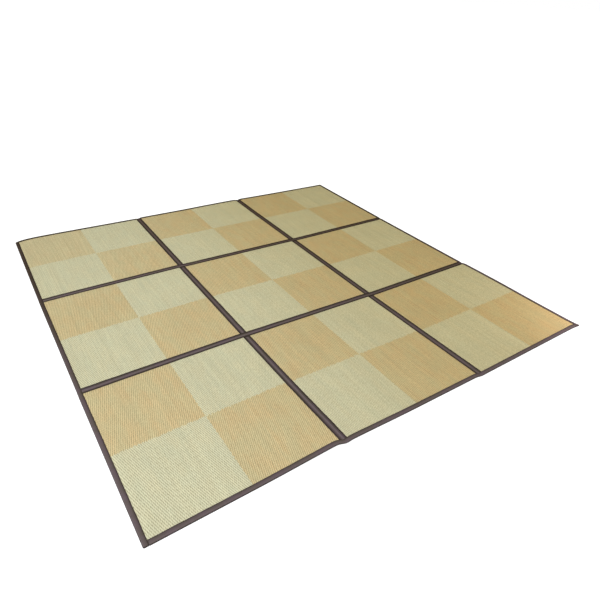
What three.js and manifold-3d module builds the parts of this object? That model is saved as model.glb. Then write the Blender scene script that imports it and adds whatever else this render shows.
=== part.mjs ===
// A folding floor mat of woven rush: nine square panels joined three by three with cloth tapes,
// and bound all round with the same cloth. It lies open on the floor, slightly uneven, as mats do
// after they have been folded. Lengths are in millimetres, +Z is up, and +X and +Y run along the
// sides. The origin is on the floor, under the middle of the mat.
import * as THREE from 'three';
import { mergeVertices } from 'three/addons/utils/BufferGeometryUtils.js';
import Module from 'manifold-3d';

// Driving sizes
const PANEL_PITCH = 600; // from seam line to seam line, and from an outer edge to the first seam line
const PANELS_A_SIDE = 3;
const RUSH_THICKNESS = 6; // a double weave of rush stalks
const CLOTH_THICKNESS = 1; // binding cloth with its edges turned under
const TAPE_WIDTH = 27; // over each seam, half on each panel
const BINDING_WIDTH = TAPE_WIDTH / 2; // shows on the face, and the same underneath
const GAP = 0.3; // between pieces that touch
const SEAM_OPENING = 2; // between the edges of two panels, where the mat folds

// How the rush is pressed down where cloth is sewn over it
const SEAM_DIP = 3; // at the seam line, so that each seam is a shallow groove
const SEWN_DIP = 0.5; // at the cloth's edge, and all the way under a binding
const RELAX = 22; // from a seam line or an outer edge, the rush is back at full thickness
const FIELD_STEPS = 8; // steps across the flat middle of a panel

const SIDE = PANEL_PITCH * PANELS_A_SIDE;
const UNDER_CLOTH = BINDING_WIDTH + GAP; // from an outer edge or a seam line to just clear of the cloth
const BINDING_WALL = CLOTH_THICKNESS + GAP; // from the outer edge of the mat to the edge of the rush

// Where the mat's lines are measured: both ends, each seam line, and RELAX before and after it
const PLACES = [
  0,
  PANEL_PITCH - RELAX, PANEL_PITCH, PANEL_PITCH + RELAX,
  2 * PANEL_PITCH - RELAX, 2 * PANEL_PITCH, 2 * PANEL_PITCH + RELAX,
  SIDE,
];

// How far the lines that run along X lie from straight, towards +Y, at each of PLACES
const LINES_ALONG_X = [
  { line: 'near edge', stray: [-3.7, 5.6, -3.5, -0.8, -2.4, -7.2, -6.6, -2.5] },
  { line: 'first seam', stray: [-5, 4.8, 4.8, 3.5, -2, -3.8, -5.5, 3] },
  { line: 'second seam', stray: [-5.5, 6.5, 5.3, 3.5, -0.5, -2.5, -4.7, 3.3] },
  { line: 'far edge', stray: [3, -0.5, -1, 4.5, 7, 0, 7.5, 3] },
];

// How far the lines that run along Y lie from straight, towards +X, at each of PLACES
const LINES_ALONG_Y = [
  { line: 'left edge', stray: [2.2, 0, 0.5, 0.5, 0.5, 0.8, 1, 5.5] },
  { line: 'first seam', stray: [0.5, -2.6, -2.8, -3, -3.8, -2.6, -1.2, -0.4] },
  { line: 'second seam', stray: [-0.8, -4.6, -5, -5.2, -3.2, -4.4, -5.2, -3.4] },
  { line: 'right edge', stray: [2.7, 3, -2.4, -3.8, -3.4, -2.4, -3, 4.6] },
];

// Where the mat stands off the floor: the top of each rise, its height, and its reach along X and Y
const RISES = [
  { place: 'near edge, first seam', x: 600, y: 0, height: 5, reachX: 300, reachY: 330 },
  { place: 'right edge, near panel', x: 1800, y: 400, height: 1.5, reachX: 200, reachY: 220 },
  { place: 'far edge, second seam', x: 1120, y: 1800, height: 2, reachX: 320, reachY: 200 },
];

// Two corners are out of shape: how far each tip is shifted, and how fast the shift fades away from it
const CORNERS = [
  { corner: 'far left', x: 0, y: SIDE, shiftX: 1, shiftY: -25, fadeX: 36, fadeY: 250 },
  { corner: 'near right', x: SIDE, y: 0, shiftX: 6, shiftY: -5, fadeX: 14, fadeY: 14 },
];

// Between 0 and 1 as value goes from low to high
function share(value, low, high) {
  return THREE.MathUtils.clamp((value - low) / (high - low), 0, 1);
}

// A line's stray at a distance along it
function strayAt(stray, along) {
  let i = 0;
  while (i < PLACES.length - 2 && along > PLACES[i + 1]) i++;
  return THREE.MathUtils.lerp(stray[i], stray[i + 1], share(along, PLACES[i], PLACES[i + 1]));
}

// The stray between the two lines on either side of a place
function strayBetween(lines, across, along) {
  const i = Math.min(Math.floor(across / PANEL_PITCH), PANELS_A_SIDE - 1);
  const towards = across / PANEL_PITCH - i;
  return THREE.MathUtils.lerp(strayAt(lines[i].stray, along), strayAt(lines[i + 1].stray, along), towards);
}

// Where a place on the straight mat lies on the uneven one
function lie(s, t) {
  let x = s + strayBetween(LINES_ALONG_Y, s, t);
  let y = t + strayBetween(LINES_ALONG_X, t, s);
  for (const corner of CORNERS) {
    const fade = Math.exp(-Math.hypot((s - corner.x) / corner.fadeX, (t - corner.y) / corner.fadeY));
    x += corner.shiftX * fade;
    y += corner.shiftY * fade;
  }
  return [x, y];
}

// Height of the mat's underside over the floor. s and t are distances from the left and near edges.
function rise(s, t) {
  let total = 0;
  for (const { x, y, height, reachX, reachY } of RISES) {
    const away = Math.min(1, Math.hypot((s - x) / reachX, (t - y) / reachY));
    total += height * Math.cos(away * Math.PI / 2) ** 2;
  }
  return total;
}

// How deep a seam at this distance presses the rush
function dipOf(distance) {
  if (distance < UNDER_CLOTH) {
    return THREE.MathUtils.lerp(SEAM_DIP, SEWN_DIP, distance / UNDER_CLOTH);
  }
  return SEWN_DIP * (1 - share(distance, UNDER_CLOTH, RELAX));
}

// Distance to the nearest seam line that crosses this direction
function toSeam(along) {
  return Math.min(Math.abs(along - PANEL_PITCH), Math.abs(along - 2 * PANEL_PITCH));
}

// Distance to the nearest outer edge
function toEdge(s, t) {
  return Math.min(s, SIDE - s, t, SIDE - t);
}

// 1 under a binding, 0 where the rush is clear of it
function bound(s, t) {
  return 1 - share(toEdge(s, t), UNDER_CLOTH, RELAX);
}

// Heights over the underside of the mat
const ground = () => 0;
const rushBottom = (s, t) => bound(s, t) * (CLOTH_THICKNESS + GAP);
const rushTop = (s, t) => RUSH_THICKNESS
  - Math.max(bound(s, t) * SEWN_DIP, dipOf(toSeam(s)), dipOf(toSeam(t)));
const overRush = (s, t) => rushTop(s, t) + GAP;
const clothTop = (s, t) => overRush(s, t) + CLOTH_THICKNESS;
// The long tapes bridge the grooves that they cross, so they follow only their own seam
const longTapeBottom = (s, t) => RUSH_THICKNESS - dipOf(toSeam(t)) + GAP;
const longTapeTop = (s, t) => longTapeBottom(s, t) + CLOTH_THICKNESS;

// A closed slab between two heights, over the distances ss from the left edge and ts from the near edge
function slab(ss, ts, bottom, top) {
  const cellsX = ss.length - 1;
  const cellsY = ts.length - 1;
  const geometry = new THREE.BoxGeometry(cellsX, cellsY, 1, cellsX, cellsY, 1);
  const point = geometry.getAttribute('position');
  for (let i = 0; i < point.count; i++) {
    const s = ss[Math.round(point.getX(i) + cellsX / 2)];
    const t = ts[Math.round(point.getY(i) + cellsY / 2)];
    const height = point.getZ(i) > 0 ? top(s, t) : bottom(s, t);
    point.setXYZ(i, ...lie(s, t), height + rise(s, t));
  }
  geometry.computeVertexNormals();
  return geometry;
}

// Steps across the middle of the panel that starts at this distance
function fieldSteps(start) {
  const steps = [];
  for (let i = 0; i <= FIELD_STEPS; i++) {
    steps.push(start + THREE.MathUtils.lerp(RELAX, PANEL_PITCH - RELAX, i / FIELD_STEPS));
  }
  return steps;
}

// The span that the cloth over a seam leaves free on one panel
function freeSpan(index) {
  const start = index * PANEL_PITCH;
  return [start + UNDER_CLOTH, ...fieldSteps(start), start + PANEL_PITCH - UNDER_CLOTH];
}

// The span of one panel, from edge to edge of its rush
function panelSpan(index) {
  const first = index === 0 ? BINDING_WALL : index * PANEL_PITCH + SEAM_OPENING / 2;
  const last = index === PANELS_A_SIDE - 1
    ? SIDE - BINDING_WALL
    : (index + 1) * PANEL_PITCH - SEAM_OPENING / 2;
  return [first, ...freeSpan(index), last];
}

// The span of a cloth that crosses every panel, with a step on each seam line
function longSpan() {
  return [...freeSpan(0), PANEL_PITCH, ...freeSpan(1), 2 * PANEL_PITCH, ...freeSpan(2)];
}

function tapeWidthAround(line) {
  return [line - TAPE_WIDTH / 2, line, line + TAPE_WIDTH / 2];
}

const wasm = await Module();
wasm.setup();

function toSolid(geometry) {
  const bare = geometry.clone();
  bare.deleteAttribute('normal');
  bare.deleteAttribute('uv');
  const merged = mergeVertices(bare);
  return new wasm.Manifold(new wasm.Mesh({
    numProp: 3,
    vertProperties: new Float32Array(merged.getAttribute('position').array),
    triVerts: new Uint32Array(merged.getIndex().array),
  }));
}

// One slab with another taken out of it
function cut(whole, hollow) {
  const { vertProperties, triVerts } = toSolid(whole).subtract(toSolid(hollow)).getMesh();
  const geometry = new THREE.BufferGeometry();
  geometry.setAttribute('position', new THREE.BufferAttribute(vertProperties, 3));
  geometry.setIndex(new THREE.BufferAttribute(triVerts, 1));
  geometry.computeVertexNormals();
  return geometry;
}

// A strip of cloth folded round the edge of the rush: face, outer wall and underside
function foldedBinding(ss, ts, hollowSs, hollowTs) {
  const whole = slab(ss, ts, ground, clothTop);
  const hollow = slab(hollowSs, hollowTs, () => CLOTH_THICKNESS, overRush);
  return cut(whole, hollow);
}

const rush = () => new THREE.MeshStandardMaterial({ color: '#cfc69b', roughness: 0.72, metalness: 0 });
const cloth = () => new THREE.MeshStandardMaterial({ color: '#574b4c', roughness: 0.9, metalness: 0 });

const mat = new THREE.Group();

function add(name, geometry, material) {
  const mesh = new THREE.Mesh(geometry, material);
  mesh.name = name;
  mat.add(mesh);
}

// Nine panels, by row from the near edge and column from the left
for (let row = 0; row < PANELS_A_SIDE; row++) {
  for (let column = 0; column < PANELS_A_SIDE; column++) {
    const geometry = slab(panelSpan(column), panelSpan(row), rushBottom, rushTop);
    add(`rush_panel_r${row + 1}_c${column + 1}`, geometry, rush());
  }
}

// Short tapes join the three panels of each row, and long tapes then join the rows
for (let seam = 1; seam < PANELS_A_SIDE; seam++) {
  const width = tapeWidthAround(seam * PANEL_PITCH);
  for (let row = 0; row < PANELS_A_SIDE; row++) {
    add(`short_tape_r${row + 1}_s${seam}`, slab(width, freeSpan(row), overRush, clothTop), cloth());
  }
  add(`long_tape_s${seam}`, slab(longSpan(), width, longTapeBottom, longTapeTop), cloth());
}

// The near and far bindings lie between the left and right ones, which cover the corners
const acrossMat = longSpan();
const wholeSide = [0, ...acrossMat, SIDE];
const insideSide = [CLOTH_THICKNESS, ...acrossMat, SIDE - CLOTH_THICKNESS];
const pastEnds = [acrossMat[0] - 1, ...acrossMat.slice(1, -1), acrossMat.at(-1) + 1];
const nearFlange = [0, BINDING_WIDTH];
const farFlange = [SIDE - BINDING_WIDTH, SIDE];
const nearHollow = [CLOTH_THICKNESS, BINDING_WIDTH + 1];
const farHollow = [SIDE - BINDING_WIDTH - 1, SIDE - CLOTH_THICKNESS];

add('binding_left', foldedBinding(nearFlange, wholeSide, nearHollow, insideSide), cloth());
add('binding_right', foldedBinding(farFlange, wholeSide, farHollow, insideSide), cloth());
add('binding_near', foldedBinding(acrossMat, nearFlange, pastEnds, nearHollow), cloth());
add('binding_far', foldedBinding(acrossMat, farFlange, pastEnds, farHollow), cloth());

// Stand the mat on the floor with the origin under its middle
const box = new THREE.Box3().setFromObject(mat);
const middle = box.getCenter(new THREE.Vector3());
mat.position.set(-middle.x, -middle.y, -box.min.z);
mat.updateMatrixWorld(true);

export default mat;
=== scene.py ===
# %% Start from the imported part
import math

import bmesh
import bpy
import numpy as np
from mathutils import Matrix, Vector


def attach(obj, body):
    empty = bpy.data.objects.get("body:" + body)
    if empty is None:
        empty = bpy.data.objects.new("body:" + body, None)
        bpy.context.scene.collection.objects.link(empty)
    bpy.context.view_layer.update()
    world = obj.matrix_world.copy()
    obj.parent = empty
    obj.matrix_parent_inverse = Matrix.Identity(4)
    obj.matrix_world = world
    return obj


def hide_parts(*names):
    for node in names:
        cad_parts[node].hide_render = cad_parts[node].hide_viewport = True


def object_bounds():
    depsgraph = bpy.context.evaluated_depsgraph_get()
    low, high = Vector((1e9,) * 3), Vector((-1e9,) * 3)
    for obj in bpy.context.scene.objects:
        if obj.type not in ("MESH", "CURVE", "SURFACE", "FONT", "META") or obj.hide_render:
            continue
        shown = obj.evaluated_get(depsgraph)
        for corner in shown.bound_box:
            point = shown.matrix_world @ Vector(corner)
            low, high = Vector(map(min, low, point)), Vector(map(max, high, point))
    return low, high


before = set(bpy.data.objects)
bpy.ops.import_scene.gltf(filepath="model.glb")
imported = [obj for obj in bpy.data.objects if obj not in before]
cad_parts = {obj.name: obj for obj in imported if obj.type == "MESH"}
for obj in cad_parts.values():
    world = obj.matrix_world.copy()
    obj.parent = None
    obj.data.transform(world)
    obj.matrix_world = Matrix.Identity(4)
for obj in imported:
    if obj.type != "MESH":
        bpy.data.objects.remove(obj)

cad_low, cad_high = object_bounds()
cad_size = [round(high - low, 3) for low, high in zip(cad_low, cad_high)]
print("nodes:", len(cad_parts), "box in m:", cad_size)

# %% [markdown]
# A nine-panel rush mat. Each panel is woven from dried rush stalks. The stalks run from the near
# edge to the far edge, and thin warp threads cross them. The panels are joined with dark cloth
# tapes, and the same cloth binds the outer edge.
#
# The solids give every piece its place, but they are smooth. Here each one is replaced by a mesh
# with its weave, folds and sewn edges. The meshes follow the same sizes as the solids, so both
# are built from the same few numbers, in millimetres.

# %% Sizes of the mat
MM = 0.001
PANEL_PITCH = 600
PANELS_A_SIDE = 3
SIDE = PANEL_PITCH * PANELS_A_SIDE
RUSH_THICKNESS = 6
CLOTH_THICKNESS = 1
TAPE_WIDTH = 27
HALF_TAPE = TAPE_WIDTH / 2
GAP = 0.3
SEAM_OPENING = 2
SEAM_DIP = 3
SEWN_DIP = 0.5
RELAX = 22
UNDER_CLOTH = HALF_TAPE + GAP
BINDING_WALL = CLOTH_THICKNESS + GAP
SEAMS = [PANEL_PITCH, 2 * PANEL_PITCH]
PLACES = [0, *(seam + shift for seam in SEAMS for shift in (-RELAX, 0, RELAX)), SIDE]
print("panels:", PANELS_A_SIDE ** 2, "side in mm:", SIDE)

# %% [markdown]
# A mat that has been folded and opened never lies dead straight. Each line below is one edge or
# one seam, and each number says how far it strays sideways at one of the eight places along it.
# Between the lines the stray is shared out evenly, as a pulled weave would do. Three edges also
# stand a little off the floor. At the far left the binding was sewn too tight and draws the corner
# down, and at the near right the corner has been pulled out to a point. Each of these shifts is
# largest at the tip and fades away from it.

# %% How unevenly the mat lies
LINES_ALONG_X = {
    "near edge": [-3.7, 5.6, -3.5, -0.8, -2.4, -7.2, -6.6, -2.5],
    "first seam": [-5, 4.8, 4.8, 3.5, -2, -3.8, -5.5, 3],
    "second seam": [-5.5, 6.5, 5.3, 3.5, -0.5, -2.5, -4.7, 3.3],
    "far edge": [3, -0.5, -1, 4.5, 7, 0, 7.5, 3],
}
LINES_ALONG_Y = {
    "left edge": [2.2, 0, 0.5, 0.5, 0.5, 0.8, 1, 5.5],
    "first seam": [0.5, -2.6, -2.8, -3, -3.8, -2.6, -1.2, -0.4],
    "second seam": [-0.8, -4.6, -5, -5.2, -3.2, -4.4, -5.2, -3.4],
    "right edge": [2.7, 3, -2.4, -3.8, -3.4, -2.4, -3, 4.6],
}
RISES = [
    {"x": 600, "y": 0, "height": 5, "reach_x": 300, "reach_y": 330},
    {"x": 1800, "y": 400, "height": 1.5, "reach_x": 200, "reach_y": 220},
    {"x": 1120, "y": 1800, "height": 2, "reach_x": 320, "reach_y": 200},
]
CORNERS = [
    {"x": 0, "y": SIDE, "shift_x": 1, "shift_y": -25, "fade_x": 36, "fade_y": 250},
    {"x": SIDE, "y": 0, "shift_x": 6, "shift_y": -5, "fade_x": 14, "fade_y": 14},
]
print("places along a line:", PLACES)

# %% [markdown]
# Four short functions carry any place of a straight mat to where it lies on the uneven one. The
# first follows one line, the second shares two lines out, the third lifts the edges, and the last
# adds the two corners. A real bend in cloth is never sharp, so each bend is rounded a little.

# %% From the straight mat to the uneven one
ROUNDED_OVER = (-9, -6, -3, 0, 3, 6, 9)


def bent(along, line):
    """The stray of one line, with its bends rounded over a few millimetres."""
    return sum(np.interp(along + nearby, PLACES, line) for nearby in ROUNDED_OVER) / len(ROUNDED_OVER)


def stray(lines, across, along):
    """Sideways stray, shared out between the two lines on either side."""
    nearest = np.clip(across // PANEL_PITCH, 0, PANELS_A_SIDE - 1).astype(int)
    by_line = np.stack([bent(along, line) for line in lines.values()])
    this_line = np.take_along_axis(by_line, nearest[None], 0)[0]
    next_line = np.take_along_axis(by_line, nearest[None] + 1, 0)[0]
    return this_line + (next_line - this_line) * (across / PANEL_PITCH - nearest)


def rise(s, t):
    """Height of the mat's underside over the floor."""
    total = np.zeros_like(s)
    for bump in RISES:
        away = np.hypot((s - bump["x"]) / bump["reach_x"], (t - bump["y"]) / bump["reach_y"])
        total += bump["height"] * np.cos(np.minimum(away, 1) * np.pi / 2) ** 2
    return total


def lie(s, t):
    """Where a place on the straight mat lies on the uneven one."""
    x = s + stray(LINES_ALONG_Y, s, t)
    y = t + stray(LINES_ALONG_X, t, s)
    for corner in CORNERS:
        away = np.hypot((s - corner["x"]) / corner["fade_x"], (t - corner["y"]) / corner["fade_y"])
        x = x + corner["shift_x"] * np.exp(-away)
        y = y + corner["shift_y"] * np.exp(-away)
    return x, y


print("a place on the first seam lies at:", np.round(lie(np.array([600.0]), np.array([300.0])), 1).ravel())

# %% [markdown]
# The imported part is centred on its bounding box, and the functions measure from a corner. The two
# are brought together by the left and near edges: wherever these lie furthest out is the low side
# of the box.

# %% The middle of the mat
edge_places = np.array([(s, t) for s in PLACES for t in PLACES if 0 in (s, t)], float)
left_most = lie(*edge_places.T)[0].min()
near_most = lie(*edge_places.T)[1].min()
MIDDLE = np.array([left_most - cad_low.x / MM, near_most - cad_low.y / MM])
print("middle of the mat from its near left corner, in mm:", MIDDLE.round(1))

# %% [markdown]
# Cloth sewn over the rush presses it down. At a seam the two panel edges are thin, so each seam
# is a shallow groove, and the rush is back at full thickness 22 mm away.

# %% Heights of the rush under the cloth
def ramp(value, low, high):
    return np.clip((value - low) / (high - low), 0, 1)


def seam_dip(distance):
    under = SEAM_DIP + (SEWN_DIP - SEAM_DIP) * distance / UNDER_CLOTH
    return np.where(distance < UNDER_CLOTH, under, SEWN_DIP * (1 - ramp(distance, UNDER_CLOTH, RELAX)))


def to_seam(along):
    return np.minimum(abs(along - SEAMS[0]), abs(along - SEAMS[1]))


def bound(s, t):
    to_edge = np.minimum(np.minimum(s, SIDE - s), np.minimum(t, SIDE - t))
    return 1 - ramp(to_edge, UNDER_CLOTH, RELAX)


def rush_top(s, t):
    pressed = np.maximum(seam_dip(to_seam(s)), seam_dip(to_seam(t)))
    return RUSH_THICKNESS - np.maximum(bound(s, t) * SEWN_DIP, pressed)


def rush_bottom(s, t):
    return bound(s, t) * BINDING_WALL


def in_place(s, t, height):
    """Points of the uneven mat, in metres in the part's frame."""
    s, t, height = np.broadcast_arrays(s * 1.0, t * 1.0, height * 1.0)
    x, y = lie(s, t)
    return np.stack([x - MIDDLE[0], y - MIDDLE[1], height + rise(s, t)], -1) * MM


print("rush top at a seam line:", rush_top(np.array([600.0]), np.array([300.0])), "mm")

# %% [markdown]
# Every mesh is made the same way: points from a formula, faces from their order, and one more
# value at each point that tells the material where on the cloth or in the weave it is, and on the
# cloth also how much painted light it has there. The value travels with the point, so a pattern
# bends with the mat instead of sliding over it.

# %% One way to make every piece
def make_piece(name, points, faces, woven, node, material):
    mesh = bpy.data.meshes.new(name)
    mesh.from_pydata(points.tolist(), [], faces)
    mesh.validate()
    place_in_weave = mesh.attributes.new("woven", "FLOAT_VECTOR", "POINT")
    place_in_weave.data.foreach_set("vector", np.ascontiguousarray(woven, np.float32).ravel())
    mesh.shade_smooth()
    mesh.materials.append(material)
    piece = bpy.data.objects.new(name, mesh)
    bpy.context.scene.collection.objects.link(piece)
    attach(piece, "root")
    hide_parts(node)
    return piece


def triangles(piece):
    piece.data.calc_loop_triangles()
    return len(piece.data.loop_triangles)


# %% [markdown]
# Materials are wired from nodes. A few short helpers keep the wiring readable: one adds a node
# and joins its inputs, one does arithmetic, one mixes colours. Colours are written as they look
# on a screen, 0 to 255, and changed to the linear values that the shader works in.

# %% Helpers for wiring materials
def paint(red, green, blue):
    linear = [((c / 255 + 0.055) / 1.055) ** 2.4 if c > 10 else c / 255 / 12.92 for c in (red, green, blue)]
    return (*linear, 1)


class Wiring:
    """Adds nodes to one tree and joins them."""

    def __init__(self, tree):
        self.tree = tree

    def join(self, socket, source):
        if isinstance(source, bpy.types.NodeSocket):
            self.tree.links.new(source, socket)
        elif source is not None:
            socket.default_value = source

    def node(self, kind, inputs=None, **settings):
        made = self.tree.nodes.new(kind)
        for key, value in settings.items():
            setattr(made, key, value)
        for key, source in (inputs or {}).items():
            self.join(made.inputs[key], source)
        return made

    def math(self, operation, *values):
        made = self.node("ShaderNodeMath", dict(enumerate(values)), operation=operation)
        return made.outputs[0]

    def smooth(self, value, low, high, to_low=0.0, to_high=1.0):
        inputs = {"Value": value, "From Min": low, "From Max": high, "To Min": to_low, "To Max": to_high}
        return self.node("ShaderNodeMapRange", inputs, interpolation_type="SMOOTHSTEP").outputs["Result"]

    def vector_math(self, operation, first, second):
        """Arithmetic on vectors. A dot product and a distance come out as one number."""
        made = self.node("ShaderNodeVectorMath", {0: first, 1: second}, operation=operation)
        return made.outputs["Value" if operation in ("DOT_PRODUCT", "DISTANCE") else "Vector"]

    def noise(self, inputs, **settings):
        """A soft cloud of values between 0 and 1."""
        return self.node("ShaderNodeTexNoise", inputs, **settings).outputs["Fac"]

    def mix(self, amount, first, second, blend="MIX"):
        """Mixes two colours. The Mix node has sockets for other kinds too: 0, 6 and 7 are for colour."""
        made = self.node("ShaderNodeMix", data_type="RGBA", blend_type=blend, clamp_factor=True)
        for number, source in {0: amount, 6: first, 7: second}.items():
            self.join(made.inputs[number], source)
        return made.outputs[2]

    def group(self, tree, **inputs):
        made = self.node("ShaderNodeGroup", node_tree=tree)
        for key, source in inputs.items():
            self.join(made.inputs[key.replace("_", " ")], source)
        return made.outputs


def new_group(name, takes, gives):
    """An empty shader node group with named sockets, its wiring, and its two ends."""
    tree = bpy.data.node_groups.new(name, "ShaderNodeTree")
    kinds = {"value": "NodeSocketFloat", "vector": "NodeSocketVector", "colour": "NodeSocketColor"}
    for title, kind in takes.items():
        tree.interface.new_socket(name=title, in_out="INPUT", socket_type=kinds[kind])
    for title, kind in gives.items():
        tree.interface.new_socket(name=title, in_out="OUTPUT", socket_type=kinds[kind])
    wiring = Wiring(tree)
    return tree, wiring, wiring.node("NodeGroupInput").outputs, wiring.node("NodeGroupOutput").inputs


def new_material(name, **constants):
    """A material with one Principled shader, whose constant values are set on its own sockets."""
    material = bpy.data.materials.new(name)
    material.use_nodes = True
    shader = material.node_tree.nodes["Principled BSDF"]
    for key, value in constants.items():
        shader.inputs[key.replace("_", " ")].default_value = value
    return material, Wiring(material.node_tree), shader.inputs


print("a pale rush as the shader sees it:", [round(c, 2) for c in paint(205, 201, 160)])

# %% [markdown]
# Nothing that is made of plants or cloth has one even colour. Slow patches of tone come from
# ageing, light and handling. One group makes such patches at any size. It is placed in every
# material, each time with its own size and strength.

# %% A group for slow patches of tone
PATCHES, wiring, takes, gives = new_group(
    "Slow patches",
    {"Position": "vector", "Patch Size": "value", "Strength": "value"},
    {"Tone": "value"},
)
every_way = wiring.node("ShaderNodeCombineXYZ", dict.fromkeys((0, 1, 2), takes["Patch Size"])).outputs[0]
scaled = wiring.vector_math("DIVIDE", takes["Position"], every_way)
cloud = wiring.noise({"Vector": scaled, "Scale": 1.0, "Detail": 3.0, "Roughness": 0.55})
centred = wiring.math("SUBTRACT", cloud, 0.5)
doubled = wiring.math("MULTIPLY", takes["Strength"], 2.0)
wiring.join(gives["Tone"], wiring.math("MULTIPLY_ADD", centred, doubled, 1.0))
print("group:", PATCHES.name)

# %% [markdown]
# The colour of the mat shifts from one side to the other. The rush is yellower and a little darker
# on the right. The cloth is darker and browner towards the far side, and its darkening is painted
# shade, where less light falls. The group takes any colour, a tint for the end it shifts to, and
# the direction of the shift along X and Y. It works out how far to go from the place on the mat,
# in metres from the middle.

# %% A group for a tint across the mat
FULL_TINT_AT = 0.6
TINT_ACROSS, wiring, takes, gives = new_group(
    "Tint across the mat",
    {"Colour": "colour", "Tint": "colour", "Direction": "vector"},
    {"Colour": "colour"},
)
place = wiring.node("ShaderNodeTexCoord").outputs["Object"]
towards = wiring.vector_math("DOT_PRODUCT", place, takes["Direction"])
how_far = wiring.smooth(towards, -FULL_TINT_AT, FULL_TINT_AT)
tinted = wiring.mix(1.0, takes["Colour"], takes["Tint"], "MULTIPLY")
wiring.join(gives["Colour"], wiring.mix(how_far, takes["Colour"], tinted))
print("group:", TINT_ACROSS.name)

# %% [markdown]
# The weave is a twill. Each stalk floats over two warp threads and dips under the third, and the
# next stalk does the same one thread further on. The dips line up as slanting lines. The mat is
# woven double, with pale rush on one side and tan rush on the other. The two layers change places
# from square to square, and the slant changes with them.
#
# The group below reads the place in the weave, in millimetres. Its masks are used for colour, for
# gloss and for the fine relief. Its first half works out in which stalk and which square a place
# is. The border of a square is not cut with a knife: the stalks change over within a few
# millimetres, and the border wanders by about one stalk.

# %% A group for the twill: stalks and squares
STALK = 2.0
SQUARE = PANEL_PITCH / 2
STAGGER = 3.0
TWILL, wiring, takes, gives = new_group(
    "Twill of stalks",
    {"Woven": "vector"},
    {"Pale Square": "value", "Roundness": "value", "Dip": "value", "Stalk": "value", "Next Stalk": "value",
     "Streak": "value"},
)
place = wiring.node("ShaderNodeSeparateXYZ", {0: takes["Woven"]}).outputs
stalk_place = wiring.math("DIVIDE", place["X"], STALK)
stalk = wiring.math("FLOOR", stalk_place)
one_stalk = wiring.node("ShaderNodeTexWhiteNoise", {"W": stalk}, noise_dimensions="1D").outputs["Value"]
staggered = wiring.math("ADD", place["Y"], wiring.smooth(one_stalk, 0.0, 1.0, -STAGGER, STAGGER))
wandering = wiring.noise({"W": place["Y"], "Scale": 0.12, "Detail": 3.0}, noise_dimensions="1D")
wandered = wiring.math("ADD", place["X"], wiring.smooth(wandering, 0.2, 0.8, -STALK, STALK))
columns = wiring.math("FLOOR", wiring.math("DIVIDE", wandered, SQUARE))
rows = wiring.math("FLOOR", wiring.math("DIVIDE", staggered, SQUARE))
underside = wiring.math("LESS_THAN", place["Z"], 0.0)
counted = wiring.math("ADD", wiring.math("ADD", columns, rows), underside)
tan_square = wiring.math("MODULO", counted, 2.0)
pale_square = wiring.math("SUBTRACT", 1.0, tan_square)
print("stalks across a panel:", PANEL_PITCH / STALK, "side of a square in mm:", SQUARE)

# %% [markdown]
# The second half finds the dips. Steps are counted along the stalk, and each stalk shifts the
# count by one, to one side in a pale square and to the other in a tan one. A step whose count is
# a multiple of three is a dip. No two dips are pressed equally deep. Last come some random
# numbers for tone: two for each stalk, and a streak that drifts along it.

# %% A group for the twill: dips and tones
STEP = 20 / 3
FLOATS = 3
CROWN = 2.2
UNEVEN_STEP = 0.12
DIP_EDGE = 0.78
DIP_FLOOR = 0.28
STREAK_LENGTH = 90.0
STREAKS_APART = 7.31
across = wiring.math("MULTIPLY_ADD", wiring.math("FRACT", stalk_place), 2.0, -1.0)
roundness = wiring.math("SUBTRACT", 1.0, wiring.math("POWER", wiring.math("ABSOLUTE", across), CROWN))
slant = wiring.math("MULTIPLY_ADD", pale_square, 2.0, -1.0)
step = wiring.math("MULTIPLY_ADD", stalk, slant, wiring.math("DIVIDE", place["Y"], STEP))
uneven_step = wiring.math("ADD", step, wiring.smooth(one_stalk, 0.0, 1.0, -UNEVEN_STEP, UNEVEN_STEP))
turn = wiring.math("PINGPONG", uneven_step, FLOATS / 2)
dip_count = wiring.math("FLOOR", wiring.math("MULTIPLY_ADD", uneven_step, 1 / FLOATS, 0.5))
one_dip = wiring.node("ShaderNodeCombineXYZ", {0: stalk, 1: dip_count}).outputs[0]
depth = wiring.node("ShaderNodeTexWhiteNoise", {"Vector": one_dip}, noise_dimensions="3D").outputs["Value"]
dip_here = wiring.smooth(turn, DIP_EDGE, DIP_FLOOR)
dip = wiring.math("MULTIPLY", dip_here, wiring.smooth(depth, 0.0, 1.0, 0.75, 1.0))
own = wiring.node("ShaderNodeCombineXYZ", {0: stalk, 1: rows, 2: underside})
by_stalk = wiring.node("ShaderNodeTexWhiteNoise", {"Vector": own.outputs[0]}, noise_dimensions="3D")
apart = wiring.node("ShaderNodeSeparateColor", {0: by_stalk.outputs["Color"]}).outputs
along_stalk = wiring.node(
    "ShaderNodeCombineXYZ",
    {0: wiring.math("MULTIPLY", stalk, STREAKS_APART),
     1: wiring.math("DIVIDE", place["Y"], STREAK_LENGTH),
     2: rows},
)
streak = wiring.noise({"Vector": along_stalk.outputs[0], "Scale": 1.0, "Detail": 2.0})
for title, source in {
    "Pale Square": pale_square, "Roundness": roundness, "Dip": dip,
    "Stalk": apart["Red"], "Next Stalk": apart["Green"], "Streak": streak,
}.items():
    wiring.join(gives[title], source)
print("group:", TWILL.name, "with", PANEL_PITCH / STEP, "steps along a panel")
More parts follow.
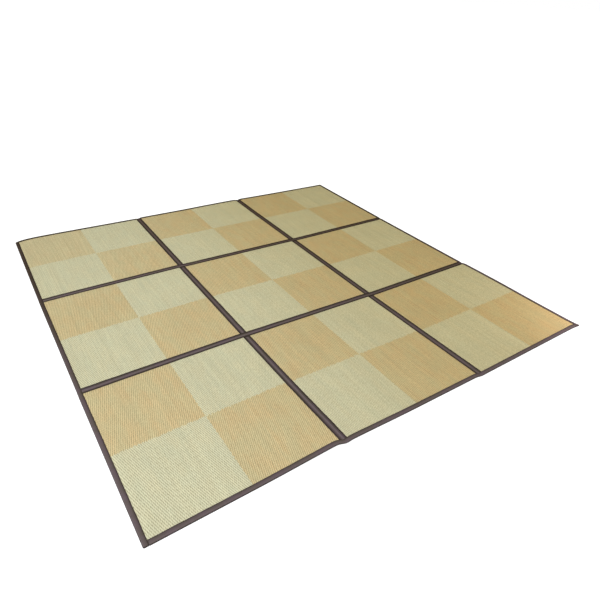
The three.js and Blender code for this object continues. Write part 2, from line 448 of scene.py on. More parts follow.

# %% [markdown]
# Rush keeps some of its green when it dries and turns straw yellow with age. Every stalk has its
# own tone, and a tone drifts along a stalk from root to tip. Near the far left corner the tan
# rush is paler, nearly as pale as its neighbours.
#
# The colour is built in layers, as a painter would: first the hue of each square and stalk, then
# lighter and darker stalks, then broad patches, and a tint across the mat over all of it.

# %% The rush material: its colour
PALE_RUSH = paint(210, 208, 176)
PALE_RUSH_GREEN = paint(204, 204, 171)
PALE_RUSH_STRAW = paint(212, 207, 172)
TAN_RUSH = paint(212, 192, 145)
TAN_RUSH_BROWN = paint(207, 182, 134)
TAN_RUSH_OLIVE = paint(204, 191, 146)
GROOVE = paint(104, 92, 62)
RUSH_TINT = (0.89, 0.83, 0.7, 1)
PALER_UP_TO = 900
PALER_MOST = 0.4

rush, wiring, shader = new_material("woven rush", Roughness=0.62, Specular_IOR_Level=0.3)
woven = wiring.node("ShaderNodeAttribute", attribute_name="woven").outputs["Vector"]
twill = wiring.group(TWILL, Woven=woven)
long_patches = wiring.vector_math("MULTIPLY", woven, (1.0, 0.4, 1.0))
hue_patches = wiring.group(PATCHES, Position=long_patches, Patch_Size=38.0, Strength=0.9)["Tone"]
leaning = wiring.smooth(hue_patches, 0.6, 1.4)
pale = wiring.mix(leaning, wiring.mix(twill["Stalk"], PALE_RUSH, PALE_RUSH_GREEN), PALE_RUSH_STRAW)
tan = wiring.mix(leaning, wiring.mix(twill["Stalk"], TAN_RUSH, TAN_RUSH_BROWN), TAN_RUSH_OLIVE)
from_corner = wiring.vector_math("DISTANCE", woven, (0, SIDE, 1))
paler_near_corner = wiring.smooth(from_corner, PALER_UP_TO, 0.0, 0.0, PALER_MOST)
by_square = wiring.mix(twill["Pale Square"], wiring.mix(paler_near_corner, tan, pale), pale)
tone = wiring.smooth(twill["Next Stalk"], 0.0, 1.0, 0.95, 1.05)
drift = wiring.smooth(twill["Streak"], 0.25, 0.75, 0.94, 1.06)
broad = wiring.group(PATCHES, Position=woven, Patch_Size=140.0, Strength=0.06)["Tone"]
close = wiring.group(PATCHES, Position=woven, Patch_Size=9.0, Strength=0.06)["Tone"]
lit = wiring.math("MULTIPLY", wiring.math("MULTIPLY", tone, drift), wiring.math("MULTIPLY", broad, close))
grey = wiring.node("ShaderNodeCombineColor", dict.fromkeys((0, 1, 2), lit)).outputs[0]
toned = wiring.mix(1.0, by_square, grey, "MULTIPLY")
# Yellower and a little darker towards the right.
tinted = wiring.group(TINT_ACROSS, Colour=toned, Tint=RUSH_TINT, Direction=(1, 0, 0))["Colour"]
print("material:", rush.name, "its colour has", len(rush.node_tree.nodes), "nodes")

# %% [markdown]
# The grooves between stalks and the dips under the warp are darker because little light gets in.
# A stalk is round and waxy, so it has a dull sheen that runs along it. Its skin is ribbed with
# fibres, far too fine for the mesh: a noise stretched along the stalk serves for those, in the
# bump and in the gloss alike.

# %% The rush material: grooves, gloss and fibres
GROOVE_SHADE = 0.4
DIP_SHADE = 0.6
in_groove = wiring.smooth(twill["Roundness"], 0.6, 0.0, 0.0, GROOVE_SHADE)
in_dip = wiring.math("MULTIPLY", twill["Dip"], DIP_SHADE)
wiring.join(shader["Base Color"], wiring.mix(wiring.math("MAXIMUM", in_groove, in_dip), tinted, GROOVE))
drawn_out = wiring.vector_math("MULTIPLY", woven, (4.0, 0.12, 1.0))
fibres = wiring.noise({"Vector": drawn_out, "Scale": 1.0, "Detail": 3.0})
up_and_down = wiring.math("SUBTRACT", twill["Roundness"], twill["Dip"])
relief = wiring.math("MULTIPLY_ADD", fibres, 0.25, up_and_down)
bump = wiring.node("ShaderNodeBump", {"Height": relief, "Strength": 0.5, "Distance": 0.0005})
wiring.join(shader["Normal"], bump.outputs["Normal"])
wiring.join(shader["Roughness"], wiring.smooth(fibres, 0.3, 0.7, 0.52, 0.72))
print("material:", rush.name, "with", len(rush.node_tree.nodes), "nodes")

# %% [markdown]
# Tapes and bindings are cut from one dark cotton cloth in plain weave. Its threads are finer than
# the rush by far. They are made by one group, because both cloth materials need them: crossing
# threads that swap over and under, and a mask of the small gaps between them, which the cloth
# materials darken as painted shade.

# %% A group for plain woven cloth
PLAIN_WEAVE, wiring, takes, gives = new_group(
    "Plain weave",
    {"Woven": "vector", "Thread Pitch": "value"},
    {"Threads": "value", "Gaps": "value"},
)
place = wiring.node("ShaderNodeSeparateXYZ", {0: takes["Woven"]}).outputs
along_turn = wiring.math("MULTIPLY", wiring.math("DIVIDE", place["X"], takes["Thread Pitch"]), math.pi)
across_turn = wiring.math("MULTIPLY", wiring.math("DIVIDE", place["Y"], takes["Thread Pitch"]), math.pi)
over = wiring.math("MULTIPLY", wiring.math("SINE", along_turn), wiring.math("SINE", across_turn))
ribs = wiring.math("MAXIMUM", wiring.math("ABSOLUTE", wiring.math("SINE", along_turn)),
                   wiring.math("ABSOLUTE", wiring.math("SINE", across_turn)))
wiring.join(gives["Threads"], wiring.math("MULTIPLY_ADD", over, 0.4, ribs))
wiring.join(gives["Gaps"], wiring.smooth(ribs, 0.55, 0.15))
print("group:", PLAIN_WEAVE.name)

# %% [markdown]
# The cloth is a dusty plum brown, with patches that lean to violet and to olive. Along the turned
# edges, where it is double, and along the lines of stitches it is darker: painted shade. Along
# each fold it is paler: a painted highlight where the fold catches the light. The mesh carries
# that painted light as the third value of its place in the weave: below zero for painted shade,
# above zero for a painted highlight. Tapes and bindings grow darker and browner towards different
# sides, the tapes most at the far right and the bindings all along the far side, so each kind has
# a material of its own. That darkening is painted shade, where less light falls.

# %% The two cloth materials
CLOTH_VIOLET = paint(82, 69, 74)
CLOTH_OLIVE = paint(76, 68, 60)
CLOTH_SHADE = paint(48, 40, 38)
CLOTH_HIGHLIGHT = paint(108, 96, 98)
FOLD_HIGHLIGHT_MOST = 0.8
EDGE_SHADE_MOST = 0.9
THREAD_PITCH = 0.75


def make_cloth(name, shade_and_brown_tint, shade_and_brown_towards):
    material, wiring, shader = new_material(name, Roughness=0.9, Specular_IOR_Level=0.15)
    woven = wiring.node("ShaderNodeAttribute", attribute_name="woven").outputs["Vector"]
    painted_light = wiring.node("ShaderNodeSeparateXYZ", {0: woven}).outputs["Z"]
    weave = wiring.group(PLAIN_WEAVE, Woven=woven, Thread_Pitch=THREAD_PITCH)
    leaning = wiring.group(PATCHES, Position=woven, Patch_Size=45.0, Strength=1.6)["Tone"]
    ground = wiring.mix(wiring.smooth(leaning, 0.6, 1.4), CLOTH_OLIVE, CLOTH_VIOLET)
    uneven = wiring.group(PATCHES, Position=woven, Patch_Size=12.0, Strength=0.5)["Tone"]
    # Painted highlight: paler along each fold, in patches along it.
    fold_highlight = wiring.math("MULTIPLY", wiring.smooth(painted_light, 0.0, 1.0, 0.0, FOLD_HIGHLIGHT_MOST), uneven)
    # Painted shade: darker along the turned edges and the furrows of stitches.
    turned = wiring.smooth(painted_light, 0.0, -1.0, 0.0, EDGE_SHADE_MOST)
    with_fold_highlight = wiring.mix(fold_highlight, ground, CLOTH_HIGHLIGHT)
    with_edge_shade = wiring.mix(turned, with_fold_highlight, CLOTH_SHADE)
    # Painted shade: the gaps between the threads are darkened.
    threads = wiring.mix(wiring.math("MULTIPLY", weave["Gaps"], 0.5), with_edge_shade, CLOTH_SHADE)
    # Darker and browner towards one side; the darkening is painted shade, where less light falls.
    tinted = wiring.group(TINT_ACROSS, Colour=threads, Tint=shade_and_brown_tint, Direction=shade_and_brown_towards)["Colour"]
    wiring.join(shader["Base Color"], tinted)
    bump = wiring.node("ShaderNodeBump", {"Height": weave["Threads"], "Strength": 0.5, "Distance": 0.0002})
    wiring.join(shader["Normal"], bump.outputs["Normal"])
    return material


tape_cloth = make_cloth("seam tape cloth", shade_and_brown_tint=(0.58, 0.5, 0.36, 1), shade_and_brown_towards=(0.6, 0.5, 0))
binding_cloth = make_cloth("edge binding cloth", shade_and_brown_tint=(0.45, 0.4, 0.28, 1), shade_and_brown_towards=(0, 1, 0))
print("materials:", tape_cloth.name, "and", binding_cloth.name)

# %% [markdown]
# A panel could be a flat slab with a bump map, but from close by and along its edge the stalks
# would look painted on. Here the top is real relief. Each stalk has a line of points on its crest
# and shares a line of points with its neighbour in the groove, and each line has a point at every
# step of the twill. A crest point is high where the stalk floats and low where it dips.
#
# The rim under the cloth and the underside have no such relief, so they are built from few faces.
# Where the fine top meets the coarse rim, each rim face takes in all the fine points along its
# side, and the mesh stays closed.

# %% Lines of points on a panel
CREST = 0.3
GROOVE_DEPTH = 0.45
DIP_DEPTH = 0.45
FINE_MARGIN = 14


def crest_and_groove_lines(column):
    """Their distances from the left edge of the mat: grooves at even millimetres, crests at odd ones."""
    return column * PANEL_PITCH + np.arange(FINE_MARGIN, PANEL_PITCH - FINE_MARGIN + 1.0)


def step_lines(row):
    """Distances of the whole steps from the near edge, the first and last just under the cloth."""
    first = math.floor(FINE_MARGIN / STEP)
    return row * PANEL_PITCH + STEP * np.arange(first, round(PANEL_PITCH / STEP) - first + 1)


def rim_of(index):
    """Where the rush of a panel starts and ends, across or along the mat."""
    start = BINDING_WALL if index == 0 else index * PANEL_PITCH + SEAM_OPENING / 2
    end = (index + 1) * PANEL_PITCH - SEAM_OPENING / 2
    return start, SIDE - BINDING_WALL if index == PANELS_A_SIDE - 1 else end


print("crest and groove lines:", len(crest_and_groove_lines(0)), "steps:", len(step_lines(0)))

# %% [markdown]
# The relief follows the same rule as the colour: the slant depends on the square, and every third
# step of a stalk is a dip. Each stalk is a little higher or lower than the next, wanders by a
# fraction of a millimetre, and swells with the rush round it. All of it fades out at the edge of
# the cloth, where the sewing has pressed the stalks flat.

# %% Relief of the twill
STALK_UNEVEN = 0.12
FADE_IN = 5
WANDER = 0.35
SWELL = 0.25
WAVES = 5


def slow_waves(s, t, length, seed):
    """Slow unevenness, about -1 to 1, as a sum of a few waves in different directions."""
    chance = np.random.default_rng(seed)
    total = 0
    for _ in range(WAVES):
        angle, phase = chance.uniform(0, 2 * np.pi, 2)
        total = total + np.sin((s * np.cos(angle) + t * np.sin(angle)) * 2 * np.pi
                               / (length * chance.uniform(0.6, 1.8)) + phase)
    return total / 3


def clear_of_cloth(s, t):
    """0 at the edge of the cloth round a panel, and 1 a few millimetres further in."""
    from_middle = np.maximum(abs(s % PANEL_PITCH - SQUARE), abs(t % PANEL_PITCH - SQUARE))
    return ramp(SQUARE - from_middle, FINE_MARGIN, FINE_MARGIN + FADE_IN)


def twill_relief(s, t):
    """Height over the smooth rush, at crest and groove lines and whole steps."""
    pale = (s // SQUARE + t // SQUARE) % 2 == 0
    stalk = s // STALK
    steps = np.rint(t / STEP)
    dips = (steps + np.where(pale, stalk, -stalk)) % FLOATS == 0
    own_height = STALK_UNEVEN * np.sin(stalk * 12.9 + t // SQUARE * 4.1)
    own_depth = DIP_DEPTH * (0.8 + 0.2 * np.sin(stalk * 78.2 + steps * 37.7))
    crest = np.where(dips, -own_depth, CREST) + own_height
    return np.where(np.rint(s) % 2 == 1, crest, -GROOVE_DEPTH) * clear_of_cloth(s, t)


print("relief from", -GROOVE_DEPTH, "to", CREST, "mm")

# %% [markdown]
# A panel mesh has a fine top and a coarse underside. Round both runs a rim, hidden by the cloth.
# The outer points of a grid are walked anticlockwise and cut into runs, one for each rim point,
# so that a long run of fine points and a single rim edge close into one face.

# %% A grid with a rim
RIM_FACES = 24
CLOSE_ACROSS = 8
CLOSE_ALONG = 1


def grid_faces(number):
    corners = [number[:-1, :-1], number[:-1, 1:], number[1:, 1:], number[1:, :-1]]
    return np.stack(corners, -1).reshape(-1, 4).tolist()


def kept_lines(count, close):
    """The lines that the coarse parts keep: both ends, one close to each, and some between."""
    return np.array([0, *np.rint(np.linspace(close, count - 1 - close, RIM_FACES)).astype(int), count - 1])


def outer_runs(number, keep_across, keep_along):
    """The outer points of a grid, anticlockwise, cut at the kept lines."""
    sides = [
        (number[0], keep_across),
        (number[:, -1], keep_along),
        (number[-1, ::-1], len(number[0]) - 1 - keep_across[::-1]),
        (number[::-1, 0], len(number) - 1 - keep_along[::-1]),
    ]
    return [side[a:b + 1].tolist() for side, keep in sides for a, b in zip(keep[:-1], keep[1:])]


def pushed_out(value, lines, rim):
    """A point on the outermost line moves out to the rim."""
    return np.where(value == lines[0], rim[0], np.where(value == lines[-1], rim[1], value))


print("kept lines of a panel:", kept_lines(len(crest_and_groove_lines(0)), CLOSE_ACROSS))

# %% [markdown]
# Each panel starts from its crest and groove lines and its steps. The top gets its relief, the
# underside is a coarse copy of the outline, and the rim joins the two. The three parts become one
# closed mesh, which is laid on the floor as a sheet 598 mm square.

# %% One woven panel
def woven_panel(row, column):
    across = crest_and_groove_lines(column)
    along = step_lines(row)
    keep_across = kept_lines(len(across), CLOSE_ACROSS)
    keep_along = kept_lines(len(along), CLOSE_ALONG)
    s, t = np.meshgrid(across, along)
    inside = clear_of_cloth(s, t)
    relief = twill_relief(s, t) + SWELL * inside * slow_waves(s, t, length=160, seed=5)
    wander = WANDER * inside * slow_waves(s, t * 0.3, length=60, seed=7)
    top = in_place(s + wander, t, rush_top(s, t) + relief)
    low_s, low_t = np.meshgrid(across[keep_across], along[keep_along])
    under = in_place(low_s, low_t, rush_bottom(low_s, low_t))

    fine = np.arange(s.size).reshape(s.shape)
    coarse = s.size + np.arange(low_s.size).reshape(low_s.shape)
    fine_runs = outer_runs(fine, keep_across, keep_along)
    every = np.arange(len(keep_across))
    coarse_runs = outer_runs(coarse, every, np.arange(len(keep_along)))
    first = [run[0] for run in fine_runs]
    rim_s = pushed_out(s.ravel()[first], across, rim_of(column))
    rim_t = pushed_out(t.ravel()[first], along, rim_of(row))
    upper_rim = in_place(rim_s, rim_t, rush_top(rim_s, rim_t))
    lower_rim = in_place(rim_s, rim_t, rush_bottom(rim_s, rim_t))

    faces = grid_faces(fine) + grid_faces(coarse[::-1])
    upper = s.size + low_s.size
    lower = upper + len(first)
    for i, (run, below) in enumerate(zip(fine_runs, coarse_runs)):
        k = (i + 1) % len(first)
        faces.append([upper + i, upper + k, *run[::-1]])
        faces.append([lower + i, lower + k, upper + k, upper + i])
        faces.append([lower + i, *below, lower + k])
    points = np.concatenate([top.reshape(-1, 3), under.reshape(-1, 3), upper_rim, lower_rim])
    woven = np.stack([
        np.concatenate([s.ravel(), low_s.ravel(), rim_s, rim_s]),
        np.concatenate([t.ravel(), low_t.ravel(), rim_t, rim_t]),
        np.repeat([1, -1, 1, -1], [s.size, low_s.size, len(first), len(first)]),
    ], -1)
    name = f"r{row + 1}_c{column + 1}"
    panel = make_piece(f"woven_panel_{name}", points, faces, woven, f"rush_panel_{name}", rush)
    return panel


panels = [woven_panel(row, column) for row in range(PANELS_A_SIDE) for column in range(PANELS_A_SIDE)]
print("triangles of one panel:", triangles(panels[0]), "of all:", sum(triangles(p) for p in panels))

# %% [markdown]
# A tape is a long strip with its two edges turned under and sewn. Its cross-section is written
# once, as a closed row of points: how far across, how far above the cloth's underside, and how
# much painted light it has there, painted shade below zero and a painted highlight above. The
# section is then set down again and again along the seam. The line of stitches is a narrow furrow
# near each edge, and the fold is a narrow crease in the middle. The turned edges and the furrows
# get painted shade, and the shoulders of the crease a painted highlight.

# %% Cross-section of a tape
HEM_TOP = 1.05
SINGLE_TOP = 0.75
TAPE_FACE = [
    {"across": 0.0, "lift": 0.3, "painted_light": 0.3},
    {"across": 0.7, "lift": 0.62, "painted_light": 1.0},
    {"across": 2.4, "lift": SINGLE_TOP, "painted_light": 0.9},
    {"across": 5.0, "lift": SINGLE_TOP, "painted_light": 0.1},
    {"across": 7.6, "lift": SINGLE_TOP, "painted_light": -0.1},
    {"across": 8.4, "lift": HEM_TOP, "painted_light": -0.7},
    {"across": 10.8, "lift": HEM_TOP, "painted_light": -0.8},
    {"across": 11.5, "lift": 0.8, "painted_light": -1.0},
    {"across": 12.2, "lift": 1.0, "painted_light": -0.8},
    {"across": 13.2, "lift": 0.85, "painted_light": -1.0},
    {"across": HALF_TAPE, "lift": 0.45, "painted_light": -1.0},
]
TAPE_UNDERSIDE = [
    {"across": 13.2, "lift": 0.06, "painted_light": -1.0},
    {"across": 8.0, "lift": 0.0, "painted_light": 0.0},
    {"across": 0.0, "lift": 0.0, "painted_light": 0.0},
]


def mirrored(rows):
    return [{**row, "across": -row["across"]} for row in rows]


TAPE_SECTION = (
    TAPE_FACE + TAPE_UNDERSIDE + mirrored(TAPE_UNDERSIDE[-2::-1]) + mirrored(TAPE_FACE[:0:-1])
)
print("points in a tape's section:", len(TAPE_SECTION))

# %% [markdown]
# Sewn cloth is never as even as its section. Its edges wander by a few tenths of a millimetre,
# and it puckers between stitches. Both fade towards the ends of a strip, which meet other cloth.

# %% A strip from a section
ALONG_STEP = 11
PUCKER = 0.1
EDGE_WANDER = 0.3


def spots_along(start, end):
    """Distances along a strip, with the seam grooves always among them."""
    grooves = [line + shift for line in PLACES for shift in (-HALF_TAPE, 0, HALF_TAPE)]
    grooves = [g for g in grooves if start + 1 < g < end - 1]
    stops = sorted({start, end, *grooves})
    parts = []
    for a, b in zip(stops, stops[1:]):
        count = max(2, math.ceil((b - a) / ALONG_STEP) + 1)
        parts.append(np.linspace(a, b, count)[:-1])
    return np.concatenate([*parts, [end]])


def table(rows, column):
    return np.array([row[column] for row in rows], float)


def closed_strip(name, points, woven, node, material):
    """Joins rows of section points into a closed skin with a face at each end."""
    count, around = points.shape[:2]
    number = np.arange(count * around).reshape(count, around)
    ring = np.concatenate([number, number[:, :1]], 1)
    faces = grid_faces(ring) + [number[0].tolist(), number[-1, ::-1].tolist()]
    points, woven = points.reshape(-1, 3), woven.reshape(-1, 3)
    piece = make_piece(name, points, faces, woven, node, material)
    made = bmesh.new()
    made.from_mesh(piece.data)
    bmesh.ops.recalc_face_normals(made, faces=made.faces)
    made.to_mesh(piece.data)
    made.free()
    return piece


print("spots along a long tape:", len(spots_along(UNDER_CLOTH, SIDE - UNDER_CLOTH)))

# %% [markdown]
# Every strip is sewn to some of the panels. A function names the panels that each one rests on.

# %% What each strip is sewn to
def panels_in(rows, columns):
    return [f"woven_panel_r{row}_c{column}" for row in rows for column in columns]


def rests_on(node):
    """The panels that a tape or binding is sewn to."""
    every = range(1, PANELS_A_SIDE + 1)
    if node.startswith("short_tape"):
        row, seam = (int(part[1:]) for part in node.split("_")[2:])
        return panels_in([row], [seam, seam + 1])
    return {
        "long_tape_s1": panels_in([1, 2], every),
        "long_tape_s2": panels_in([2, 3], every),
        "binding_near": panels_in([1], every),
        "binding_far": panels_in([3], every),
        "binding_left": panels_in(every, [1]),
        "binding_right": panels_in(every, [3]),
    }[node]


print("the first short tape rests on:", rests_on("short_tape_r1_s1"))

# %% [markdown]
# Long tapes run from side to side without a break, and each short one ends at a long one. At both
# ends a tape is pressed flat and tucked under the cloth that crosses it, so no floor shows through
# the seam.

# %% The tapes over the seams
TUCK = 8
FLAT_FROM = 1.5
FADE_OUT = 20
SIDES_APART = 90
GAP_PRESSED_OUT = 0.9
CLOTH_PRESSED_OUT = 0.8


def seam_tape(node, seam, start, end, along_x):
    """A long tape lies along X over its seam. A short one lies along Y."""
    spots = np.concatenate([
        [start - TUCK, start - FLAT_FROM], spots_along(start, end), [end + FLAT_FROM, end + TUCK],
    ])
    along, across = np.meshgrid(spots, table(TAPE_SECTION, "across"), indexing="ij")
    lift, painted_light = table(TAPE_SECTION, "lift"), table(TAPE_SECTION, "painted_light")
    tucked = ((along < start) | (along > end)) * 1.0
    fade = ramp(np.minimum(along - start, end - along), 0, FADE_OUT)
    edge, side = abs(across) / HALF_TAPE, np.sign(across)
    waves_from = seam + side * SIDES_APART
    edge_waves = slow_waves(along, waves_from, length=55, seed=11)
    wandered = across + side * edge ** 4 * fade * EDGE_WANDER * edge_waves
    pucker = edge ** 2 * fade * PUCKER * slow_waves(along, waves_from, length=16, seed=13)
    if along_x:
        s, t, rush_height = along, seam + wandered, RUSH_THICKNESS - seam_dip(abs(wandered))
    else:
        s, t, rush_height = seam + wandered, along, rush_top(seam + wandered, along)
    pressed = tucked * (GAP * GAP_PRESSED_OUT + lift * CLOTH_PRESSED_OUT)
    height = rush_height + GAP + lift + np.where(lift > GAP, pucker, 0) - pressed
    woven = np.stack([along, across + seam, np.broadcast_to(painted_light, along.shape)], -1)
    piece = closed_strip(f"seam_{node}", in_place(s, t, height), woven, node, tape_cloth)
    return piece


tapes = []
for number, seam in enumerate(SEAMS, 1):
    for row in range(PANELS_A_SIDE):
        start = row * PANEL_PITCH + UNDER_CLOTH
        end = (row + 1) * PANEL_PITCH - UNDER_CLOTH
        tapes.append(seam_tape(f"short_tape_r{row + 1}_s{number}", seam, start, end, along_x=False))
    tapes.append(seam_tape(f"long_tape_s{number}", seam, UNDER_CLOTH, SIDE - UNDER_CLOTH, along_x=True))
print("triangles of all tapes:", sum(triangles(t) for t in tapes))

# %% [markdown]
# A binding is the same cloth folded round the edge of the rush: a flange on the face, a wall, and
# a flange underneath. The cloth is too stiff for a sharp fold, so its wall bulges out a little.
# Its section is one closed row of points again: the outline first, and then the hollow that holds
# the rush. Level 0 is the floor side of the cloth and level 1 the top of the rush, so the wall
# always fits the height between them.

# %% Cross-section of a binding
# The last value of each row is painted light: painted shade below zero, on the wall, at the furrow of
# stitches and at the turned edges, and a painted highlight above zero, on the fold over the rush.
BINDING_OUTLINE = [
    {"across": 13.3, "level": 0, "lift": 0.9, "painted_light": -0.8},
    {"across": HALF_TAPE, "level": 0, "lift": 0.45, "painted_light": -0.8},
    {"across": 13.1, "level": 0, "lift": 0.03, "painted_light": -0.5},
    {"across": 8.0, "level": 0, "lift": 0.0, "painted_light": 0.0},
    {"across": 1.3, "level": 0, "lift": 0.0, "painted_light": 0.0},
    {"across": -0.2, "level": 0, "lift": 0.35, "painted_light": -0.4},
    {"across": -1.2, "level": 0, "lift": 1.2, "painted_light": -0.7},
    {"across": -1.7, "level": 0.5, "lift": 0.3, "painted_light": -0.8},
    {"across": -1.3, "level": 1, "lift": -0.5, "painted_light": -0.5},
    {"across": -0.5, "level": 1, "lift": 0.5, "painted_light": 0.4},
    {"across": 0.7, "level": 1, "lift": 0.95, "painted_light": 0.8},
    {"across": 2.6, "level": 1, "lift": 1.0, "painted_light": 0.6},
    {"across": 7.6, "level": 1, "lift": 0.8, "painted_light": 0.4},
    {"across": 8.4, "level": 1, "lift": HEM_TOP, "painted_light": 0.3},
    {"across": 10.8, "level": 1, "lift": HEM_TOP, "painted_light": 0.1},
    {"across": 11.5, "level": 1, "lift": 0.75, "painted_light": -0.9},
    {"across": 12.2, "level": 1, "lift": 1.0, "painted_light": -0.3},
    {"across": 13.2, "level": 1, "lift": 0.85, "painted_light": -0.8},
    {"across": HALF_TAPE, "level": 1, "lift": 0.45, "painted_light": -1.0},
]
BINDING_HOLLOW = [
    {"across": 13.2, "level": 1, "lift": 0.06, "painted_light": -1.0},
    {"across": 12.6, "level": 1, "lift": 0.0, "painted_light": -1.0},
    {"across": CLOTH_THICKNESS, "level": 1, "lift": 0.0, "painted_light": 0.0},
    {"across": CLOTH_THICKNESS, "level": 0, "lift": 1.0, "painted_light": 0.0},
    {"across": 12.6, "level": 0, "lift": 1.0, "painted_light": -0.5},
]
BINDING_SECTION = BINDING_OUTLINE + BINDING_HOLLOW
print("points in a binding's section:", len(BINDING_SECTION))

# %% [markdown]
# The left and right bindings run past the corners and close over them, so their ends are full
# sections with no hollow: the points of the hollow stand in one line between the two flanges,
# and a millimetre further on they open out. The near and far bindings fit between them and need
# no such end. A corner of folded cloth is round, so the wall draws in over the last few
# millimetres.

# %% Which way each binding runs, and its ends
ROUND_CORNER = 2
CLOSED_SPOTS = [0, 0.4, CLOTH_THICKNESS]
OPENING_SPOTS = [CLOTH_THICKNESS, 1.5, ROUND_CORNER, 5]
BINDINGS = {
    "binding_near": {"across": "t", "from_edge": 0, "covers_corners": False},
    "binding_far": {"across": "t", "from_edge": SIDE, "covers_corners": False},
    "binding_left": {"across": "s", "from_edge": 0, "covers_corners": True},
    "binding_right": {"across": "s", "from_edge": SIDE, "covers_corners": True},
}


def end_spots(spots, closed):
    """Adds the close spots of a rounded, closed end at both ends of a binding."""
    if not closed:
        return spots
    close = np.array([*CLOSED_SPOTS, *OPENING_SPOTS])
    return np.concatenate([close, spots[1:-1], SIDE - close[::-1]])


print("spots added at a closed end:", len(CLOSED_SPOTS) + len(OPENING_SPOTS))

# %% [markdown]
# One function makes all four. It reads the section at every spot, rounds the corners, closes the
# ends, and turns the distance from the edge into a place on the mat. The cloth is laid out flat as
# the two flanges and the wall between them.

# %% The bindings round the edge
CLOSED_AT = HALF_TAPE - 0.1
LEVELS_APART = 70
FACES_APART = 10


def binding(node, across, from_edge, covers_corners):
    start = 0 if covers_corners else UNDER_CLOTH
    end = SIDE - start
    spots = end_spots(spots_along(start, end), covers_corners)
    along, inward = np.meshgrid(spots, table(BINDING_SECTION, "across"), indexing="ij")
    level, lift, painted_light = (table(BINDING_SECTION, key) for key in ("level", "lift", "painted_light"))
    to_end = np.minimum(along - start, end - along)
    fade = ramp(to_end, 0, FADE_OUT)
    waves_from = from_edge + level * LEVELS_APART
    edge_waves = slow_waves(along, waves_from, length=60, seed=17)
    inward = inward + (inward / HALF_TAPE) ** 4 * fade * EDGE_WANDER * edge_waves
    pucker = fade * PUCKER * slow_waves(along, waves_from, length=18, seed=19)
    if covers_corners:
        outline = np.arange(len(BINDING_SECTION)) < len(BINDING_OUTLINE)
        short = np.clip(ROUND_CORNER - to_end, 0, ROUND_CORNER)
        draw_in = ROUND_CORNER - np.sqrt(ROUND_CORNER ** 2 - short ** 2)
        rounded = inward + draw_in * (1 - inward / ROUND_CORNER)
        inward = np.where(outline & (inward < ROUND_CORNER), rounded, inward)
        solid = np.arange(len(spots)) < len(CLOSED_SPOTS)
        solid = (solid | solid[::-1])[:, None] & ~outline[None]
        inward = np.where(solid, CLOSED_AT, inward)
    beside = SIDE - inward if from_edge else inward
    s, t = (beside, along) if across == "s" else (along, beside)
    rush_height = rush_top(s, t) + GAP
    height = level * rush_height + lift + np.where((level == 1) & (lift > GAP), pucker, 0)
    across_cloth = inward + from_edge + FACES_APART * level
    woven = np.stack([along, across_cloth, np.broadcast_to(painted_light, along.shape)], -1)
    name = node.replace("binding", "edge_binding")
    piece = closed_strip(name, in_place(s, t, height), woven, node, binding_cloth)
    return piece


bindings = [binding(node, **facts) for node, facts in BINDINGS.items()]
print("triangles of all bindings:", sum(triangles(b) for b in bindings))

# %% [markdown]
# The mat lies on a plain white studio floor, a hair lower than the solids so that the two never
# share a plane. For the camera it glows, and is as white as the backdrop. For the mat it is plain
# matt white, and lights it softly from below.

# %% The floor
FLOOR_RADIUS = 60
FLOOR_BELOW = 0.0002
FLOOR_WHITE = (0.9, 0.9, 0.9, 1)
FLOOR_AS_SEEN = (0.35, 0.35, 0.35, 1)
FLOOR_GLOW = 0.9
floor_mesh = bpy.data.meshes.new("floor")
made = bmesh.new()
bmesh.ops.create_circle(made, cap_ends=True, segments=96, radius=FLOOR_RADIUS)
made.to_mesh(floor_mesh)
made.free()
floor = bpy.data.objects.new("floor", floor_mesh)
floor.location.z = -FLOOR_BELOW
bpy.context.scene.collection.objects.link(floor)
floor_finish = bpy.data.materials.new("studio floor")
floor_finish.use_nodes = True
wiring = Wiring(floor_finish.node_tree)
matt = wiring.node("ShaderNodeBsdfDiffuse", {"Color": FLOOR_WHITE}).outputs[0]
as_seen = wiring.node("ShaderNodeBsdfDiffuse", {"Color": FLOOR_AS_SEEN}).outputs[0]
glow = wiring.node("ShaderNodeEmission", {"Color": (1, 1, 1, 1), "Strength": FLOOR_GLOW}).outputs[0]
bright = wiring.node("ShaderNodeAddShader", {0: as_seen, 1: glow}).outputs[0]
seen = wiring.node("ShaderNodeLightPath").outputs["Is Camera Ray"]
surface = wiring.node("ShaderNodeMixShader", {0: seen, 1: matt, 2: bright}).outputs[0]
wiring.join(floor_finish.node_tree.nodes["Material Output"].inputs["Surface"], surface)
floor_finish.node_tree.nodes.remove(floor_finish.node_tree.nodes["Principled BSDF"])
floor_mesh.materials.append(floor_finish)
print("floor radius in m:", FLOOR_RADIUS)

# %% [markdown]
# The light is soft and comes mostly from the left, so the near left panels are the brightest. A
# weak light hangs over the far part of the mat, and a small one close to the near right corner
# makes its tip shine. The sky is white where the camera sees it, and dimmer and warmer as a light.

# %% Studio light
SKY_AS_LIGHT = (0.65, 0.6, 0.465, 1)
SKY_AS_SEEN = (1, 1, 1, 1)


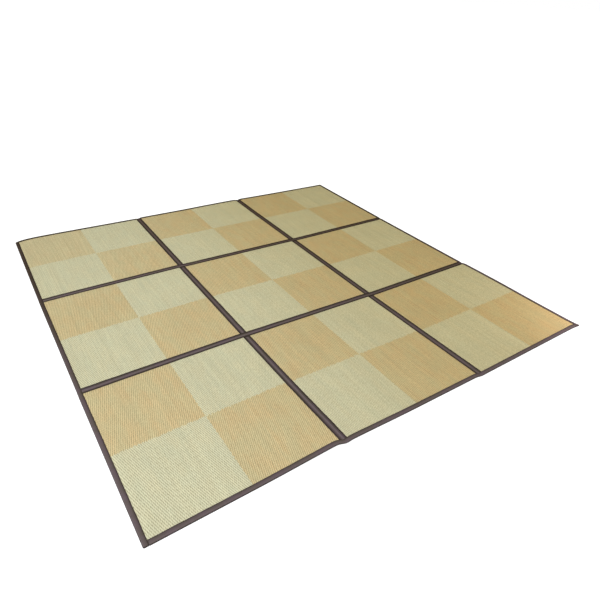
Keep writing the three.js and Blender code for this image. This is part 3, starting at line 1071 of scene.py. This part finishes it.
def soft_light(name, size, power, colour, place, aim):
    data = bpy.data.lights.new(name, "AREA")
    data.shape = "DISK"
    data.size = size
    data.energy = power
    data.color = colour
    lamp = bpy.data.objects.new(name, data)
    lamp.location = place
    lamp.rotation_euler = (Vector(aim) - Vector(place)).to_track_quat("-Z", "Y").to_euler()
    bpy.context.scene.collection.objects.link(lamp)


soft_light(
    "key light", size=1.6, power=124, colour=(0.76, 0.83, 1),
    place=(-2.7, -1.8, 2.8), aim=(0, 0, 0),
)
soft_light(
    "top light", size=0.8, power=2.8, colour=(0.8, 0.92, 1),
    place=(-0.3, 0.6, 1.4), aim=(-0.3, 0.6, 0),
)
soft_light(
    "corner glow", size=0.3, power=1.1, colour=(1, 0.88, 0.95),
    place=(1.02, -0.95, 0.3), aim=(0.88, -0.82, 0),
)
sky = bpy.data.worlds.new("studio")
bpy.context.scene.world = sky
sky.use_nodes = True
wiring = Wiring(sky.node_tree)
seen = wiring.node("ShaderNodeLightPath").outputs["Is Camera Ray"]
backdrop = sky.node_tree.nodes["Background"].inputs
wiring.join(backdrop["Color"], wiring.mix(seen, SKY_AS_LIGHT, SKY_AS_SEEN))
bpy.context.scene.view_settings.view_transform = "Standard"

# %% [markdown]
# The camera stands a little over a metre high, off the near left corner. It looks down at the mat
# across its diagonal through a fairly wide lens, and it is tilted a few degrees to one side.

# %% The camera
CAMERA_FROM_CORNER = (-121, -729, 1132)
HEADING = math.radians(35.77)
DOWN = math.radians(32.53)
TILT = math.radians(3.70)
camera_data = bpy.data.cameras.new("camera")
camera_data.sensor_width = 36
camera_data.lens = 30.17
camera = bpy.data.objects.new("camera", camera_data)
to_heading = Matrix.Rotation(-HEADING, 4, "Z")
to_look_down = Matrix.Rotation(math.pi / 2 - DOWN, 4, "X")
to_tilt = Matrix.Rotation(TILT, 4, "Z")
turn = to_heading @ to_look_down @ to_tilt
stand = Vector(CAMERA_FROM_CORNER) - Vector((*MIDDLE, 0))
camera.matrix_world = Matrix.Translation(stand * MM) @ turn
bpy.context.scene.collection.objects.link(camera)
bpy.context.scene.camera = camera
print("camera at:", [round(c, 3) for c in camera.matrix_world.translation])
